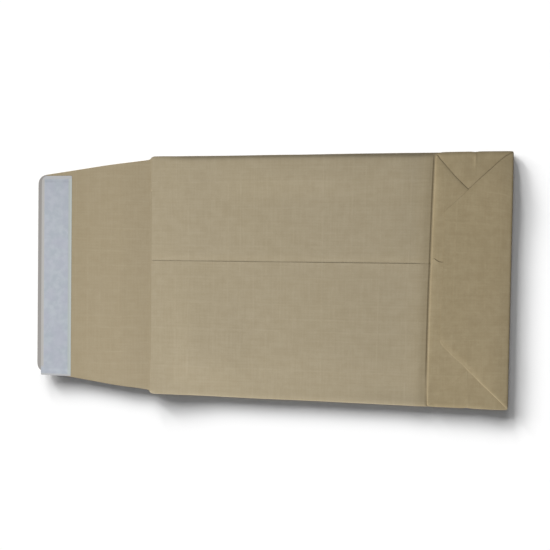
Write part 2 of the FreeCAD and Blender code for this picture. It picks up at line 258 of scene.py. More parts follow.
lie = {  # how the paper lies: heights in mm, or in layer pitches where the layers stand apart
    "mouthShare": 0.35, "pocketLift": 1.0, "shoulderLift": 1.2, "sideSpring": 0.8, "sideRun": 46,
    "farSideLift": 1.15, "farSideEase": 0.35, "bellyLift": 1.0,
    "lipHump": 0.3, "humpFade": 0.7, "lipSlack": 0.6, "nearSlack": 1.33,
    "lipRoll": 0.66, "rollStart": 7.8, "rollEnd": 2.6, "rollLate": 2.0, "rollSoft": 0.25, "rollAtSide": 0.45,
    "lipEdge": 0.5, "lipLow": 0.95, "lipRise": 0.42, "lipRun": 9,
    "grooveStart": 2.3, "grooveEnd": 0.6, "grooveEdge": 0.35,
    "sidePressNear": 0.5, "sidePressFar": 0.3, "pressEase": 0.6,
    "endRun": 17, "endDrop": 0.4, "middleSag": 0.16,
    "wave": 0.12, "edgeWave": 0.3, "flapCurl": 0.15, "mouthLift": 2.1, "scoreHeight": 0.14,
    "flapSag": 0.45, "sagEase": 0.8, "tipDroop": 0.15, "tipAskew": 0.65, "tipShort": 0.35,
    "gapeNearMouth": 0.07, "gapeNearLip": 0.1, "caughtLift": 0.3, "caughtPull": 4.4,
    "leafPuff": 0.45, "leafEaseFar": 0.3, "leafEaseNear": 1, "creaseRidge": 0.52, "nearRidge": 0.4,
    "cornerGape": 0.12, "gapeWidth": 6, "edgePress": 0.36, "edgePressEase": 0.4, "innerPress": 0.2,
    "caughtFrom": 2.6, "caughtRun": 4.5, "caughtStay": 1.1, "caughtTop": 5, "caughtTopRun": 6,
    "ridgePast": 0.6, "ridgeHalf": 1.6, "edgeWidth": 1.8, "edgeWider": 3.4, "bulgeRun": 14,
    "slantLean": 5.2, "slantFar": (2.5, 0.7, -0.8), "slantNear": (1.0, 1.3),
    "rootFar": 1.0, "rootNear": 1.5, "lipShift": 1.1, "lipSlant": 0.0145, "lipBow": 0.00006, "lipNick": 0.2,
    "insideEnd": 0.8, "insideLip": 0.4, "insideTuck": 0.25, "mouthShort": 1.0,
    "innerDrawn": 1.15, "seamEdgeLow": 0.5, "farSideDrawn": 0.7, "leafShift": 0.2,
    "cornerPullFar": 2.0, "cornerPullNear": 1.0, "cornerPullRun": 4.5,
}

stretches = {  # where each of those starts and ends, in mm
    # along the sheet, from the mouth edge
    "mouthOpens": (-14, 46), "pocketOpens": (-20, 50), "mouthLowers": (-40, 70),
    "farSideStarts": (40, 120), "farSideEases": (172, 206), "farSideEnds": (234, 256),
    "bellyStarts": (18, 45), "bellyEnds": (72, 105),
    "nearSlackFalls": (170, 250), "farSlackFalls": (230, 252),
    "gapeOpens": (40, 62), "gapeShuts": (96, 110), "gapeReopens": (132, 150),
    "pressEases": (296, 322), "leafEases": (300, 318),
    "cornerGapes": (295, 303), "cornerShuts": (322, 331), "edgeNarrows": (288, 312), "edgeEases": (304, 318),
    "turnStarts": (150, 245), "turnEndsInner": (266, 292), "turnEnds": (275, 322), "waverStarts": (0, 12),
    "innerDrawnEases": (278, 298), "mouthCut": (0, 5),
    "farDrawnFirst": (15, 40), "farDrawnThen": (160, 200), "farDrawnEnds": (244, 258),
    # along the sealing flap, from the mouth edge to its tip
    "tipDroops": (10, 117), "sagStarts": (2, 32), "nearTip": (40, 117), "flapCurls": (6, 150),
    "rootFarEnds": (0, 50), "rootNearEnds": (0, 42), "notch": (0.35, 0.8), "scoreFades": (-30, 0),
    # along the sheet, from the score, the lip, the tuck or the bottom fold
    "scoreStep": (-3.5, 0.5), "humpToLip": (-24, -10), "lowersToLip": (-12, -2), "shutAtLip": (-14, -5),
    "pastLip": (3, 9), "drawnPastLip": (0, 5), "caughtPastLip": (0, 6), "bendAtLip": (0, 3),
    "bendAtTuck": (0, 3), "bendAtEnd": (0, 3.2),
    "slantSpreads": (0, 10), "slantWidens": (22, 32), "slantCloses": (36, 50),
    "nearSlantOpens": (6, 28), "nearSlantWidens": (38, 50),
    # across the sheet, from the middle line
    "farSideAcross": (71, 98), "bellyAcross": (-80, 10), "humpAcross": (-5, 40), "slackAcross": (-5, 35),
    "rollAcross": (70, 92), "sagAcross": (35, 92), "flapSagAcross": (40, 108), "waverAcross": (70, 112),
    "ridgeStarts": (101, 105), "ridgeEnds": (110, 113.5),
    "nickAcross": (0.2, 2.4), "innerDrawnAcross": (20, 50),
    "leafShiftAcross": (92, 112), "slantAcross": (15, 55), "farDrawnAcross": (92, 113),
    # inwards from a side fold
    "shoulder": (0, 3), "bellyInward": (2, 30), "slackInward": (0, 14), "rollInward": (0, 12),
    "grooveFar": (1, 4.5), "grooveNear": (0.3, 2), "grooveInner": (4, 11),
    "pressFar": (0, 30), "pressNear": (8, 76), "puffInward": (0, 3),
    # square to a slanting fold
    "puffFar": (-1.8, 1.6), "puffNear": (0, 1.5), "innerPressed": (-2.6, -0.2),
}


def over(value, name):
    return ease(value, *stretches[name])


def pocketLooseness(x, y, inward):
    # open at the mouth, sprung along its sides, slack near the lip and rolled down at it
    fromLip = x - lipLine
    opened = lie["mouthShare"] + (1 - lie["mouthShare"]) * over(x, "mouthOpens")
    spring = lie["sideSpring"] + (lie["shoulderLift"] - lie["sideSpring"]) * over(inward, "shoulder")
    pocket = lie["pocketLift"] * ease(inward, 0, lie["sideRun"] if y < 0 else 3) * over(x, "pocketOpens")
    if y > 0:
        swollen = over(y, "farSideAcross") * over(x, "farSideStarts") * (1 - over(x, "farSideEnds"))
        pocket += lie["farSideLift"] * swollen * (1 - lie["farSideEase"] * over(x, "farSideEases"))
    else:
        belly = over(x, "bellyStarts") * (1 - over(x, "bellyEnds"))
        pocket += lie["bellyLift"] * belly * over(inward, "bellyInward") * (1 - over(y, "bellyAcross"))
    pocket += lie["lipHump"] * (1 - lie["humpFade"] * over(y, "humpAcross")) * over(fromLip, "humpToLip")
    near = 1 - over(y, "slackAcross")  # the near half falls slowly, the far half late
    fall = lie["nearSlack"] * near * over(x, "nearSlackFalls") * over(inward, "slackInward")
    pocket -= lie["lipSlack"] * (fall + (1 - near) * over(x, "farSlackFalls"))
    start = lie["rollStart"] - lie["rollLate"] * over(y, "rollAcross")
    rolled = min(1, max(0, (fromLip + start) / (start - lie["rollEnd"])))
    rolled += lie["rollSoft"] * (ease(rolled, 0, 1) - rolled)
    rolled *= lie["rollAtSide"] + (1 - lie["rollAtSide"]) * over(inward, "rollInward")
    pocket -= lie["lipRoll"] * rolled
    groove = ease(fromLip, -lie["grooveStart"], -lie["grooveEnd"])
    if y > 0:
        groove *= over(inward, "grooveFar")
    else:
        groove *= (lie["grooveEdge"] * over(inward, "grooveNear")
                   + (1 - lie["grooveEdge"]) * over(inward, "grooveInner"))
    level = 1 + (lie["lipLow"] - 1) * over(fromLip, "lowersToLip")
    return level + max(0, spring * opened + pocket) * (1 - groove)


def bottomLooseness(x, y, inward):
    # swollen behind the lip, sagging in the middle, pressed along its sides and at its end
    rise = math.sin(math.pi / 2 * min(1, max(0, (x - lipLine + lie["lipEdge"]) / lie["lipRun"])))
    fall = max(0, (x - bodyEnd + lie["endRun"]) / lie["endRun"])
    sag = 1 - lie["middleSag"] * (1 - over(abs(y), "sagAcross")) * rise
    if y > 0:
        sides = lie["sidePressFar"] * (1 - over(inward, "pressFar"))
    else:
        sides = lie["sidePressNear"] * (1 - over(inward, "pressNear"))
        sides *= 1 - lie["pressEase"] * over(x, "pressEases")
    return (lie["lipLow"] + lie["lipRise"] * rise - lie["endDrop"] * fall * fall) * sag - sides * rise


def looseness(x, y):
    # how far the layers stand apart, where 1 is the plain pitch
    inward = halfWidth - abs(y)
    return pocketLooseness(x, y, inward) if x < lipLine - lie["lipEdge"] else bottomLooseness(x, y, inward)


def swell(x, y):
    # the stack's slight wave over the table, and the sealing flap's lift, score, sag and curl
    wave = lie["wave"] * (1 + noise.noise(Vector((x / 75, y / 60, 3.1)))) / 2
    wave += lie["mouthLift"] * (1 - over(x, "mouthLowers")) * (1 - lie["tipDroop"] * over(-x, "tipDroops"))
    if x > 4:
        return wave
    score = over(x - envelope["scoreLine"], "scoreStep") * (1 - over(x, "scoreFades"))
    sag = over(-y, "flapSagAcross") * over(-x, "sagStarts") * (1 - lie["sagEase"] * over(-x, "nearTip"))
    curl = over(-x, "flapCurls") * (1.25 + 0.5 * abs(y) / halfWidth)  # a little more at the sides
    return wave + lie["scoreHeight"] * score - lie["flapSag"] * sag + lie["flapCurl"] * curl


seamTurn = {"back": -1, "bottomWall": 1, "innerFlap": -1}  # which way the under layer steps


def seamGape(x):
    # how far the seam's free edge stands up: pressed shut in places, open in others
    gape = lie["gapeNearMouth"] * over(x, "gapeOpens") * (1 - over(x, "gapeShuts"))
    gape += lie["gapeNearLip"] * over(x, "gapeReopens")
    return gape * (1 - over(x - lipLine, "shutAtLip"))


def slantRise(panel, side, x, y):
    # small rises and hollows that the press leaves beside the bottom's slanting folds
    far = abs(y)
    pastInner = (x + far - lipLine - halfWidth) / math.sqrt(2)
    pastOuter = (x - far - bodyEnd + halfWidth) / math.sqrt(2)
    if panel == "sideLeaf":
        puff = over(pastInner, "puffFar" if side > 0 else "puffNear") * over(halfWidth - far, "puffInward")
        puff *= 1 - (lie["leafEaseFar"] if side > 0 else lie["leafEaseNear"]) * over(x, "leafEases")
        # the gusset's crease prints through
        ridge = max(0, 1 - abs(x - tuckLine - lie["ridgePast"]) / lie["ridgeHalf"])
        ridge *= over(far, "ridgeStarts") * (1 - over(far, "ridgeEnds"))
        ridge *= 1 if side > 0 else lie["nearRidge"]
        return lie["leafPuff"] * puff + lie["creaseRidge"] * ridge
    if panel in ("innerFlap", "innerCorner"):
        return -lie["innerPress"] * over(pastInner, "innerPressed") * over(x - lipLine, "pastLip")
    if panel in ("outerFlap", "outerCorner") and side > 0:
        gape = lie["cornerGape"] * math.exp(-(max(0, pastOuter) / lie["gapeWidth"]) ** 2)
        return gape * over(x, "cornerGapes") * (1 - over(x, "cornerShuts"))
    if panel in ("outerFlap", "outerCorner"):
        width = lie["edgeWidth"] + lie["edgeWider"] * (1 - over(x, "edgeNarrows"))
        press = lie["edgePress"] * (1 - lie["edgePressEase"] * over(x, "edgeEases"))
        return -press * (1 - ease(pastOuter, 0, width))
    return 0


def layerHeight(panel, side, x, y, share=1):
    height = levels[panel] * envelope["layerPitch"] * looseness(x, y) + slantRise(panel, side, x, y)
    if panel in seamTurn:
        seamEdge = envelope["seamEdge"]
        if side > 0:
            under = 1 - ease(y, seamEdge - 0.5, seamEdge + 6.2)
            if panel == "back":
                under *= 1 - 0.5 * over(x - lipLine, "shutAtLip")
            height += seamTurn[panel] * envelope["seamDrop"] * under * share
        elif panel == "back":
            height += seamGape(x) * ease(y, seamEdge - 3, seamEdge) * share
        elif panel == "innerFlap":
            caught = max(0, 1 - abs(x - lipLine - lie["caughtTop"]) / lie["caughtTopRun"])
            height += lie["caughtLift"] * caught * ease(y, seamEdge - 3, seamEdge) * share
    return height


def distanceTo(x, y, start, stop):
    runX, runY = stop[0] - start[0], stop[1] - start[1]
    t = ((x - start[0]) * runX + (y - start[1]) * runY) / (runX * runX + runY * runY)
    t = min(1, max(0, t))
    return math.hypot(x - start[0] - t * runX, y - start[1] - t * runY)


def heightIn(panel, side, x, y, share=1):
    # flat on its level, and round where it bends into its neighbour
    own = layerHeight(panel, side, x, y, share)
    height = own
    for other, start, stop in bendsOf[panel]:
        half = (layerHeight(other, side, x, y, share) - own) / 2
        radius = abs(half)
        away = distanceTo(x, abs(y), start, stop)
        if away < radius:
            height += half * (1 - math.sqrt(1 - (1 - away / radius) ** 2))
    return height


bottomPanels = {"bottomWall", "wallTuck", "sideTriangle", "sideLeaf", "innerCorner",
                "innerFlap", "outerCorner", "outerFlap"}


def settleFlap(x, y, side):
    # the sealing flap starts at a notch, runs a little hollow beside the mouth, and ends askew
    drawn = halfWidth + envelope["flapTipInset"] * x / envelope["flapDepth"]
    taper = envelope["flapTipInset"] - envelope["flapRootInset"]
    wanted = halfWidth - envelope["flapRootInset"] + taper * (x + 1) / (envelope["flapDepth"] - 1)
    if side > 0:
        wanted -= lie["rootFar"] * (1 - over(-x, "rootFarEnds"))
    else:
        wanted -= lie["rootNear"] * (1 - over(-x, "rootNearEnds"))
    pulled = (lie["tipShort"] + lie["tipAskew"] * y / 100) * over(-x, "nearTip")
    return x + pulled, y * (1 + (wanted / drawn - 1) * over(-x, "notch"))


def slantSpread(side, up):
    # the outer flap's folds run a little off 45 degrees; up is measured from the bottom fold
    if side > 0:
        opens, widens, closes = lie["slantFar"]
        spread = lie["slantLean"] * up / envelope["bottomFlap"] + opens * over(up, "slantSpreads")
        return spread + widens * over(up, "slantWidens") + closes * over(up, "slantCloses")
    opens, widens = lie["slantNear"]
    return opens * over(up, "nearSlantOpens") + widens * over(up, "nearSlantWidens")


def settle(x, y, panels):
    # where the paper really lies: folds a little off square, edges that waver
    side = 1 if y > 0 else -1
    far = abs(y)
    if x < 0:
        return settleFlap(x, y, side)
    newX, newY = x, y
    pastLip = x - lipLine
    if panels & {"sideLeaf", "outerCorner"} and not panels & {"front", "outerFlap"}:
        newX -= lie["insideEnd"] * (1 - over(bodyEnd - x, "bendAtEnd"))  # inside each bend
    if panels <= {"sideLeaf", "innerCorner"}:
        newX += lie["insideLip"] * (1 - over(pastLip, "bendAtLip"))
    if panels <= {"back", "bottomWall"}:
        newX -= lie["insideTuck"] * (1 - over(tuckLine - x, "bendAtTuck"))
    if panels <= {"back", "backTuck"}:
        newX += lie["mouthShort"] * (1 - over(x, "mouthCut"))  # the mouth edge is cut a little short
    innerOnly = panels & {"innerFlap", "innerCorner"} and side > 0
    turned = over(x, "turnStarts") * (1 - over(x, "turnEndsInner" if innerOnly else "turnEnds"))
    newX += (lie["lipShift"] + lie["lipSlant"] * y + lie["lipBow"] * y * y) * turned  # the lip, askew
    newX -= lie["lipNick"] * (1 - over(y, "nickAcross")) * turned  # and nicked near the seam
    waver = noise.noise(Vector((x / 42, side * 7.7, 0.4)))
    newY += lie["edgeWave"] * waver * over(far, "waverAcross") * over(x, "waverStarts")
    if panels & {"innerFlap"} and side > 0 or panels == {"innerFlap"}:
        caught = lie["caughtPull"] * max(0, 1 - abs(pastLip - lie["caughtFrom"]) / lie["caughtRun"])
        caught += lie["caughtStay"] * over(pastLip, "caughtPastLip")
        if y < envelope["seamEdge"] + 0.1:
            newY += caught * ease(y, 7, envelope["seamEdge"])  # the seam's edge is caught in the lip
    if innerOnly:
        drawnBack = lie["innerDrawn"] * over(pastLip, "drawnPastLip") * (1 - 0.5 * over(x, "innerDrawnEases"))
        newX, newY = newX - drawnBack, newY - drawnBack * over(y, "innerDrawnAcross")
    if panels & {"sideLeaf"} and pastLip > 5:
        bulge = max(0, 1 - abs(x - tuckLine) / lie["bulgeRun"]) * (1 if side > 0 else lie["nearRidge"])
        newX += lie["leafShift"] * over(far, "leafShiftAcross") * bulge
    if panels & {"outerFlap", "outerCorner"}:
        newY += side * slantSpread(side, bodyEnd - x) * over(far, "slantAcross")
    if panels == {"back"} and 8 < y < envelope["seamEdge"] + 0.1:
        newY -= lie["seamEdgeLow"] * ease(y, 8, envelope["seamEdge"])  # its free edge runs low
    if panels & {"back", "backTuck"} and side > 0:
        drawnIn = over(x, "farDrawnFirst") + over(x, "farDrawnThen") * (1 - over(x, "farDrawnEnds"))
        newY -= lie["farSideDrawn"] * drawnIn * over(y, "farDrawnAcross")
    if panels & bottomPanels:  # the lip's corner is drawn in
        pull = lie["cornerPullFar"] if side > 0 else lie["cornerPullNear"]
        away = math.hypot(pastLip, far - halfWidth)
        newY -= side * pull * (1 - ease(away, 0, lie["cornerPullRun"]))
    return newX, newY


def keepFlatPlace(piece):
    # the flat place of every corner becomes the map that the patterns follow
    bm = openMesh(piece)
    uvLayer = bm.loops.layers.uv.new("cut")
    for face in bm.faces:
        for loop in face.loops:
            loop[uvLayer].uv = (loop.vert.co.x * mm, loop.vert.co.y * mm)


def foldAndLay(piece, share=1):
    # the flat pattern goes over its fold lines, then every layer is lifted to its height
    keepFlatPlace(piece)
    joined = {}
    for face in openMesh(piece).faces:
        middle = face.calc_center_median()
        name = panelAt(middle.x, middle.y)
        for vert in face.verts:
            joined.setdefault(vert.index, set()).add((name, 1 if middle.y > 0 else -1))
    sheets = {}
    for index, owners in joined.items():
        sheets.setdefault(min(owners), []).append(index)
    for (name, side), members in sheets.items():
        if not turns[name]:
            continue
        bpy.ops.mesh.select_all(action="DESELECT")
        bm = openMesh(piece)
        for index in members:
            bm.verts[index].select_set(True)
        for line in turns[name]:
            turnOver(*turnLine(line, side))
    bm = openMesh(piece)
    for index, owners in joined.items():
        vert = bm.verts[index]
        x, y = vert.co.x, vert.co.y
        heights = [heightIn(name, side, x, y, share) for name, side in owners]
        newX, newY = settle(x, y, {name for name, side in owners})
        vert.co = (newX, newY, sum(heights) / len(heights) + envelope["paper"] / 2 + swell(x, y))
    bmesh.update_edit_mesh(piece.data)
    bpy.ops.object.mode_set(mode="OBJECT")


rows = {  # where the mesh has close rows, in mm from each fold or edge
    "score": (-1.6, 0, 1.6), "beforeLip": (9.5, 4.5), "lip": (3.0, 2.3, 1.7, 1.1, 0.55),
    "end": (2.6, 4.4, 10.5), "mouth": (-0.8, 3.6, 5.6), "side": (-3.5, 3.5),
    "seam": (21.2, 19.2, 17.4, 16.5, 15.7, 14.8),
}


def crossedBy(fold, side):
    # the faces that a slanting fold runs over, told by where their middles are
    def within(x, y):
        around = y * side
        if x < tuckLine:
            return False
        if fold == "risingEdge":
            return halfWidth < around < midCrease or x > bodyEnd and abs(y) < halfWidth
        return midCrease < around < rearCrease if x < bodyEnd else around > rearCrease
    return within


print("cutting the sheet")  # one piece, cut flat and folded
kraftSheet = startSheet("kraft_sheet", 0, flatEnd, -seamOver, seamUnder)
kraftSheet.data.materials.append(None)  # a slot for the paper's inner face
kraftSheet.data.materials.append(None)  # and one for its outer face
for side in (1, -1):
    for around in (halfWidth, midCrease, rearCrease):
        cutLine(kraftSheet, (0, side * around), (1, 0))
cutLine(kraftSheet, (tuckLine, 0), (0, 1))
cutLine(kraftSheet, (bodyEnd, 0), (0, 1))
for side in (1, -1):
    for fold in ("risingEdge", "fallingEdge"):
        cutLine(kraftSheet, *turnLine(fold, side), within=crossedBy(fold, side))

# sealing flap: the mouth edge drawn out and narrowed, its two tip corners rounded
selectWhere(openMesh(kraftSheet).edges, lambda edge: all(
    abs(vert.co.x) < hair and abs(vert.co.y) < halfWidth + hair for vert in edge.verts))
bpy.ops.mesh.extrude_edges_move(TRANSFORM_OT_translate={"value": (-envelope["flapDepth"], 0, 0)})
selectWhere(openMesh(kraftSheet).faces, lambda face: face.normal.z < 0)
bpy.ops.mesh.flip_normals()
selectWhere(openMesh(kraftSheet).verts, lambda vert: vert.co.x < -hair)
tipShare = (halfWidth - envelope["flapTipInset"]) / halfWidth
bpy.ops.transform.resize(value=(1, tipShare, 1), center_override=(0, 0, 0))
roundCorners(envelope["flapCorner"], envelope["cornerSteps"])

# a close row each side of every fold and edge, so that bends stay narrow
bpy.ops.mesh.select_all(action="SELECT")
bpy.ops.mesh.inset(thickness=envelope["nearRow"], use_individual=True)
bpy.ops.mesh.inset(thickness=envelope["farRow"], use_individual=True)
for face in openMesh(kraftSheet).faces:  # the bottom's flaps bend more softly
    if face.select and face.calc_center_median().x < bodyEnd:
        face.select_set(False)
bpy.ops.mesh.inset(thickness=envelope["thirdRow"], use_individual=True)

cell = envelope["cell"]
lengthRows = [bodyEnd + cell * i for i in range(-63, 9) if i != -47]  # one is too near the mouth
lengthRows += [envelope["scoreLine"] + step for step in rows["score"]]
lengthRows += [lipLine - step for step in rows["beforeLip"] + rows["lip"]]
lengthRows += [bodyEnd + step for step in rows["end"]] + list(rows["mouth"])
cutRows(kraftSheet, lengthRows, "y")
aroundRows = []
for side in (1, -1):
    aroundRows += [side * (halfWidth - cell * i) for i in range(17)]
    aroundRows += [side * (halfWidth + cell * i) for i in range(1, 26) if i != 24]  # 24 is the seam's
    aroundRows += [side * (fold + step) for fold in (halfWidth, rearCrease) for step in rows["side"]]
aroundRows += [tubeRear - step for step in rows["seam"]]
aroundRows += [-rearCrease - cell * i for i in range(14, 19)]
cutRows(kraftSheet, aroundRows, "x")
print("sheet has", len(openMesh(kraftSheet).faces), "faces before folding")
foldAndLay(kraftSheet)
finishSheet(kraftSheet, envelope["paper"], otherSide=1)

seal = {  # the liner over the adhesive film, in mm; askew is in radians
    "linerLow": -101, "linerHigh": 97, "linerTip": -113.4, "linerWidth": 31.7, "linerFilm": 0.1,
    "cutCorner": 6, "cutSteps": 5, "squareCorner": 0.8, "squareSteps": 2,
    "edgeStep": (1.9, 3.3), "endStep": (4, 6.5), "linerGap": 0.02, "linerLoose": 0.09,
    "adhesiveFilm": 0.1, "filmShare": 0.9, "dryEdge": 3, "dryEnd": 6, "filmCorner": 1.5, "filmSteps": 3,
    "askew": 0.0050, "cell": 6,
    "edgeRows": (0.5, 1.8, 2.4, 3.1, 4.2), "endRows": (0.6, 3.4, 5.2, 6.6), "filmRows": (0.4, 1.2),
}
linerRight = seal["linerTip"] + seal["linerWidth"]
film = seal["adhesiveFilm"]
sealMiddle = (seal["linerTip"] + seal["linerWidth"] / 2, (seal["linerLow"] + seal["linerHigh"]) / 2, 0)


def stripRows(low, high, step, close):
    # evenly spaced rows with a few close ones inside each end
    count = round((high - low) / step)
    even = [low + (high - low) * i / count for i in range(1, count)]
    return even + [low + c for c in close] + [high - c for c in close]


def cutStrip(piece, box, step, closeAtX, closeAtY):
    cutRows(piece, stripRows(box[0], box[1], step, closeAtX), "y")
    cutRows(piece, stripRows(box[2], box[3], step, closeAtY), "x")


def drape(piece, heightAt):
    # turns the strip a little askew and lays it on the flap
    keepFlatPlace(piece)
    heights = [heightAt(vert.co.x, vert.co.y) for vert in openMesh(piece).verts]
    bpy.ops.mesh.select_all(action="SELECT")
    bpy.ops.transform.rotate(value=seal["askew"], orient_axis="Z", center_override=sealMiddle)
    for vert, height in zip(openMesh(piece).verts, heights):
        vert.co.z = swell(vert.co.x, vert.co.y) + envelope["paper"] + height
    bmesh.update_edit_mesh(piece.data)
    bpy.ops.object.mode_set(mode="OBJECT")


linerBox = (seal["linerTip"], linerRight, seal["linerLow"], seal["linerHigh"])
liner = startSheet("liner_strip", *linerBox)
# cut with the flap at one corner, square at the others
selectWhere(openMesh(liner).verts, lambda vert: vert.co.x < sealMiddle[0] and vert.co.y > 0)
roundCorners(seal["cutCorner"], seal["cutSteps"])
selectWhere(openMesh(liner).verts, lambda vert: vert.co.y < 0 or vert.co.x > linerRight - hair)
roundCorners(seal["squareCorner"], seal["squareSteps"])
cutStrip(liner, linerBox, seal["cell"], seal["edgeRows"], seal["endRows"])


def linerHeight(x, y):
    # raised over the film, down on the paper along its dry edges, loosely stuck
    onFilm = 1
    for inward, step in ((x - seal["linerTip"], "edgeStep"), (linerRight - x, "edgeStep"),
                         (y - seal["linerLow"], "endStep"), (seal["linerHigh"] - y, "endStep")):
        onFilm *= ease(inward, *seal[step])
    loose = seal["linerLoose"] * (1 + noise.noise(Vector((x / 5, y / 5, 8)))) * onFilm
    return seal["linerGap"] + (film + loose) * onFilm + seal["linerFilm"] / 2


drape(liner, linerHeight)
finishSheet(liner, seal["linerFilm"])

filmBox = (seal["linerTip"] + seal["dryEdge"], linerRight - seal["dryEdge"],
           seal["linerLow"] + seal["dryEnd"], seal["linerHigh"] - seal["dryEnd"])
adhesive = startSheet("adhesive_film", *filmBox)
roundCorners(seal["filmCorner"], seal["filmSteps"])
cutStrip(adhesive, filmBox, seal["cell"], seal["filmRows"], seal["filmRows"])
drape(adhesive, lambda x, y: film / 2)
finishSheet(adhesive, film * seal["filmShare"])

paste = {  # a band under the seam, and a patch between the two bottom flaps, in mm
    "seamLow": 3, "seamHigh": 13, "seamStart": 4, "seamEnd": flatEnd - 4, "seamFilm": 0.05,
    "foldRows": (-1.5, -0.35, 0, 0.35, 1.5), "bandRows": (4, 6, 8, 10, 12),
    "patchStart": 273, "patchEnd": 319, "patchHalf": 52.5, "patchFilm": 0.22,
    "patchCorner": 5, "cornerSteps": 4, "patchRows": (0.5, 2),
}
seamPaste = startSheet("seam_paste", paste["seamStart"], paste["seamEnd"],
                       tubeRear - paste["seamHigh"], tubeRear - paste["seamLow"])
seamRows = [bodyEnd + cell * i for i in range(-46, 8)] + [lipLine - step for step in rows["lip"]]
seamRows += [fold + step for fold in (tuckLine, bodyEnd) for step in paste["foldRows"]]
cutRows(seamPaste, seamRows, "y")
cutRows(seamPaste, [tubeRear - y for y in paste["bandRows"]], "x")
foldAndLay(seamPaste, share=0.5)
finishSheet(seamPaste, paste["seamFilm"])

patchBox = (paste["patchStart"], paste["patchEnd"], -paste["patchHalf"], paste["patchHalf"])
patch = startSheet("bottom_paste", *patchBox)
roundCorners(paste["patchCorner"], paste["cornerSteps"])
cutStrip(patch, patchBox, cell, paste["patchRows"], paste["patchRows"])
patchLevel = (levels["innerFlap"] + levels["outerFlap"]) / 2 * envelope["layerPitch"]
for vert in openMesh(patch).verts:
    x, y = vert.co.x, vert.co.y
    vert.co.z = patchLevel * looseness(x, y) + envelope["paper"] / 2 + swell(x, y)
bmesh.update_edit_mesh(patch.data)
bpy.ops.object.mode_set(mode="OBJECT")
finishSheet(patch, paste["patchFilm"])


def addNode(tree, kind, inputs=(), out=0, **settings):
    # one node with its settings, values and links; gives the output asked for, or the node
    node = tree.nodes.new(kind)
    for name, value in settings.items():
        setattr(node, name, value)
    for place, value in inputs.items() if isinstance(inputs, dict) else enumerate(inputs):
        if isinstance(value, bpy.types.NodeSocket):
            tree.links.new(value, node.inputs[place])
        else:
            node.inputs[place].default_value = value
    return node if out is None else node.outputs[out]


soft = {"interpolation_type": "SMOOTHSTEP"}  # a Map Range without a hard start or stop


def startMaterial(name):
    material = bpy.data.materials.new(name)
    material.use_nodes = True
    tree = material.node_tree
    tree.nodes.clear()
    shader = addNode(tree, "ShaderNodeBsdfPrincipled", out=None)
    addNode(tree, "ShaderNodeOutputMaterial", {"Surface": shader.outputs["BSDF"]}, out=None)
    return material, tree, shader


def finishMaterial(tree, shader, look, colour, height):
    # colour and relief follow the pattern, gloss is the same all over
    tree.links.new(colour, shader.inputs["Base Color"])
    shader.inputs["Roughness"].default_value = look["roughness"]
    shader.inputs["Specular IOR Level"].default_value = look["specular"]
    bump = addNode(tree, "ShaderNodeBump", {
        "Strength": look["reliefShare"], "Distance": look["relief"] * mm, "Height": height})
    tree.links.new(bump, shader.inputs["Normal"])


def layColours(tree, base, layers):
    # each layer is how much of it shows, its colour and, if it isn't plain, how it blends
    colour = toLinear(base)
    for amount, tint, *blend in layers:
        colour = addNode(tree, "ShaderNodeMix", {0: amount, 6: colour, 7: toLinear(tint)}, out=2,
                         data_type="RGBA", blend_type=blend[0] if blend else "MIX")
    return colour


def speckle(tree, place, size, detail=2.0, rough=0.5, stretch=(1, 1, 1)):
    # soft noise whose spots are about size millimetres; place is in metres
    scaled = addNode(tree, "ShaderNodeVectorMath", (place, tuple(1000 / size * s for s in stretch)),
                     operation="MULTIPLY")
    return addNode(tree, "ShaderNodeTexNoise", {
        "Vector": scaled, "Scale": 1.0, "Detail": detail, "Roughness": rough},
        out="Fac", noise_dimensions="3D")


paperLook = {  # reliefs are in mm, and places in mm from the mouth edge
    "outer": "#AA9E85", "inner": "#A2957B", "fibreDark": "#8A7A5C", "broad": "#9C8E6C",
    "thread": "#BDB299", "threadShow": 0.10, "threadWidth": 0.11, "threadStray": 0.24, "threadBend": 0.09,
    "threadPitch": (12.7, 12.35), "threadShift": (0.15, 0.2),  # along the web, round it
    # painted shade, multiplied into the paper over the bottom from just before the lip on
    "paintedShade": "#F8F4E9", "paintedShadeRun": (lipLine - 20, lipLine + 16), "blotch": 0.27,
    "bySeal": "#8C7E60", "bySealRun": (-84, -50), "bySealShow": 0.22,
    "tip": "#928F8C", "tipRun": (-114.0, -112.2), "tipCornerRun": (205.0, 207.0),
    "roughness": 0.82, "specular": 0.25, "relief": 0.08, "reliefShare": 0.5,
}


def threadLines(tree, along, across, way):
    # threads one pitch apart, each a little off its place and of its own strength
    bend = addNode(tree, "ShaderNodeMath", (speckle(tree, across, 60, 1.0), paperLook["threadBend"]),
                   operation="MULTIPLY")
    perMetre, shift = 1000 / paperLook["threadPitch"][way], paperLook["threadShift"][way]
    place = addNode(tree, "ShaderNodeMath", (along, perMetre, shift), operation="MULTIPLY_ADD")
    place = addNode(tree, "ShaderNodeMath", (place, bend), operation="ADD")
    cells = addNode(tree, "ShaderNodeTexVoronoi", {
        "W": place, "Scale": 1.0, "Randomness": paperLook["threadStray"]},
        out=None, voronoi_dimensions="1D", feature="F1").outputs
    line = addNode(tree, "ShaderNodeMapRange", (
        cells["Distance"], 0.0, paperLook["threadWidth"], 1.0, 0.0), **soft)
    own = addNode(tree, "ShaderNodeSeparateColor", (cells["Color"],), out=way)
    own = addNode(tree, "ShaderNodeMapRange", (own, 0.0, 0.8, 0.35, 1.0), **soft)
    patchy = addNode(tree, "ShaderNodeMapRange", (speckle(tree, across, 17, 2.0), 0.32, 0.62), **soft)
    strength = addNode(tree, "ShaderNodeMath", (own, patchy), operation="MULTIPLY")
    return addNode(tree, "ShaderNodeMath", (line, strength), operation="MULTIPLY")


